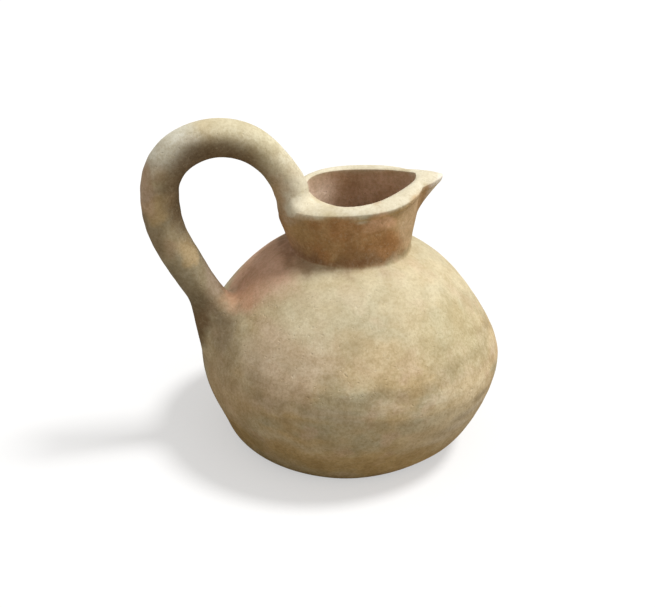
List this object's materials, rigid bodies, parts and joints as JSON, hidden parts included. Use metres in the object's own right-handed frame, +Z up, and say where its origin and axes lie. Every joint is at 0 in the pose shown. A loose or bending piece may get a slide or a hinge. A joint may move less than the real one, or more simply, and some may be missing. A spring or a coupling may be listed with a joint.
{
  "type": "jug",
  "caption": "Hand-made unglazed earthenware jug with a round body, a short neck, a pinched pouring spout and a round loop handle.",
  "frame": {"origin": "middle of the flat base, on the ground", "axes": "+Z up the axis of the body, +X towards the spout, -X towards the handle, +Y to the left of someone who looks along +X"},
  "size_m": [0.1987, 0.1696, 0.1855],
  "materials": {
    "body_clay": "unglazed buff earthenware, matte, finely speckled",
    "neck_clay": "unglazed orange-brown earthenware with a cream rim, matte",
    "handle_clay": "unglazed buff to olive earthenware, matte",
    "luting_clay": "unglazed smeared earthenware, matte"
  },
  "bodies": {
    "root": {"body": "body_clay", "neck_and_spout": "neck_clay", "handle": "handle_clay", "neck_luting_coil": "luting_clay", "upper_handle_luting_pad": "luting_clay", "lower_handle_luting_pad": "luting_clay"}
  },
  "joints": []
}
